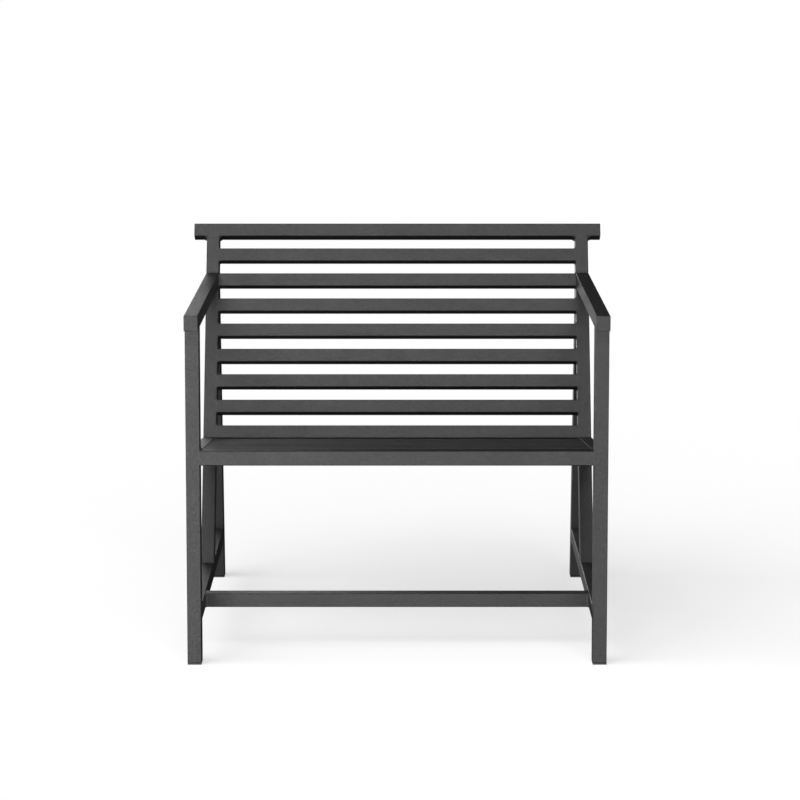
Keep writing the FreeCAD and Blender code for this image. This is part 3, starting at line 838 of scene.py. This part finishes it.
def set_floor(stage):
    """White floor that keeps the chair's shadow and shows in reflections as the backdrop does."""
    mesh = bpy.data.meshes.new("floor")
    shape = bmesh.new()
    bmesh.ops.create_circle(shape, cap_ends=True, segments=FLOOR_SEGMENTS, radius=stage.floor_radius)
    shape.to_mesh(mesh)
    shape.free()
    material, tree, output = new_material("white_floor")
    seen = add_node(tree, "ShaderNodeLightPath").outputs["Is Camera Ray"]
    mirrored = add_node(tree, "ShaderNodeEmission", {"Strength": reflected_white(tree, stage)})
    shaded = add_node(tree, "ShaderNodeBsdfDiffuse", {"Color": (1, 1, 1, 1)})
    steady = add_node(tree, "ShaderNodeEmission", {"Strength": 1})
    paint = add_node(tree, "ShaderNodeMixShader",
                     {0: stage.shadow_depth, 1: steady.outputs[0], 2: shaded.outputs[0]})
    mixed = add_node(tree, "ShaderNodeMixShader", {0: seen, 1: mirrored.outputs[0], 2: paint.outputs[0]})
    tree.links.new(mixed.outputs[0], output.inputs["Surface"])
    mesh.materials.append(material)
    floor = bpy.data.objects.new("floor", mesh)
    bpy.context.scene.collection.objects.link(floor)
    return floor


def set_lamps(stage, floor):
    """Soft lamps for the chair, which pass the floor by, and soft lamps for the floor alone."""
    beside_floor = floor_group("all_but_the_floor", floor, "EXCLUDE")
    for name, lamp in LAMPS.items():
        reach = add_lamp(name, lamp, stage.lamp_share).light_linking
        reach.receiver_collection = beside_floor
        reach.blocker_collection = beside_floor
    only_floor = floor_group("only_the_floor", floor, "INCLUDE")
    for name, (azimuth, elevation) in FLOOR_LAMPS.items():
        away = direction(azimuth, elevation)
        lamp = add_light(name, "SUN", away, Vector())
        lamp.data.energy = math.pi / away.z / len(FLOOR_LAMPS)
        lamp.data.angle = stage.shadow_softness
        lamp.light_linking.receiver_collection = only_floor


class CoatTubes(bpy.types.Operator):
    """Give the welded tubes and their end caps the powder coat"""

    bl_idname = "lounge_chair.coat_tubes"
    bl_label = "Coat tubes"

    def execute(self, context):
        coat = powder_coat(context.scene.lounge_chair.coat)
        # The slats, welds and glides of the frame get it too, but finished pieces take their places.
        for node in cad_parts.values():
            node.material_slots[0].material = coat
        return {"FINISHED"}


class MakeBackSlats(bpy.types.Operator):
    """Make the slats of the back"""

    bl_idname = "lounge_chair.back_slats"
    bl_label = "Back slats"

    def execute(self, context):
        settings = context.scene.lounge_chair
        make_slats(settings, "back_slats", back_row(settings.slats.corner), numbered("back_slat"))
        return {"FINISHED"}


class MakeSeatSlats(bpy.types.Operator):
    """Make the slats of the seat"""

    bl_idname = "lounge_chair.seat_slats"
    bl_label = "Seat slats"

    def execute(self, context):
        settings = context.scene.lounge_chair
        make_slats(settings, "seat_slats", seat_row(settings.slats.corner), numbered("seat_slat"))
        return {"FINISHED"}


class MakeWeldBeads(bpy.types.Operator):
    """Make the weld beads of the rails, slats and crossbar"""

    bl_idname = "lounge_chair.weld_beads"
    bl_label = "Weld beads"

    def execute(self, context):
        settings = context.scene.lounge_chair
        groups = {
            "top_rail_welds": weld_top_rail,
            "back_slat_welds": weld_slats,
            "front_rail_welds": weld_front_rail,
            "crossbar_welds": weld_crossbar,
        }
        for node, weld in groups.items():
            new_piece(node.replace("welds", "weld_beads"), joined(weld(settings)), [node])
        return {"FINISHED"}


class MakeFootGlides(bpy.types.Operator):
    """Make the nylon glides in the feet of the legs"""

    bl_idname = "lounge_chair.foot_glides"
    bl_label = "Foot glides"

    def execute(self, context):
        glides = context.scene.lounge_chair.glides
        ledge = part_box("front_leg_left")[0].z - glides.groove
        nylon = moulded_nylon(glides, ledge)
        for end in ("front", "rear"):
            for side in SIDES:
                node = f"{end}_foot_glide_{side}"
                mesh = glide_mesh(glides, node, f"{end}_leg_{side}")
                mesh.materials.append(nylon)
                new_piece(f"{end}_glide_{side}", mesh, [node])
        return {"FINISHED"}


class SetStage(bpy.types.Operator):
    """Set the floor, the backdrop, the lamps and the camera"""

    bl_idname = "lounge_chair.stage"
    bl_label = "Stage"

    def execute(self, context):
        stage = context.scene.lounge_chair.stage
        context.scene.view_settings.view_transform = "Standard"
        set_camera(stage)
        set_backdrop(stage)
        set_lamps(stage, set_floor(stage))
        return {"FINISHED"}


class ChairPanel(bpy.types.Panel):
    """Steps that finish the chair and set its stage"""

    bl_idname = "VIEW3D_PT_lounge_chair"
    bl_label = "Lounge Chair"
    bl_space_type = "VIEW_3D"
    bl_region_type = "UI"
    bl_category = "Lounge Chair"

    def draw(self, context):
        for step in STEPS:
            self.layout.operator(step.bl_idname)


STEPS = (CoatTubes, MakeBackSlats, MakeSeatSlats, MakeWeldBeads, MakeFootGlides, SetStage)
GROUPS = (CoatSettings, SlatSettings, WeldSettings, GlideSettings, StageSettings, ChairSettings)
CLASSES = (*GROUPS, *STEPS, ChairPanel)


def register():
    """Make the settings, the operators and the panel known."""
    for item in CLASSES:
        bpy.utils.register_class(item)
    bpy.types.Scene.lounge_chair = PointerProperty(type=ChairSettings)


def unregister():
    """Take them away again."""
    del bpy.types.Scene.lounge_chair
    for item in reversed(CLASSES):
        bpy.utils.unregister_class(item)


def main():
    """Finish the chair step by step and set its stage."""
    register()
    bpy.ops.lounge_chair.coat_tubes()
    bpy.ops.lounge_chair.back_slats()
    bpy.ops.lounge_chair.seat_slats()
    bpy.ops.lounge_chair.weld_beads()
    bpy.ops.lounge_chair.foot_glides()
    bpy.ops.lounge_chair.stage()


if __name__ == "__main__":
    main()
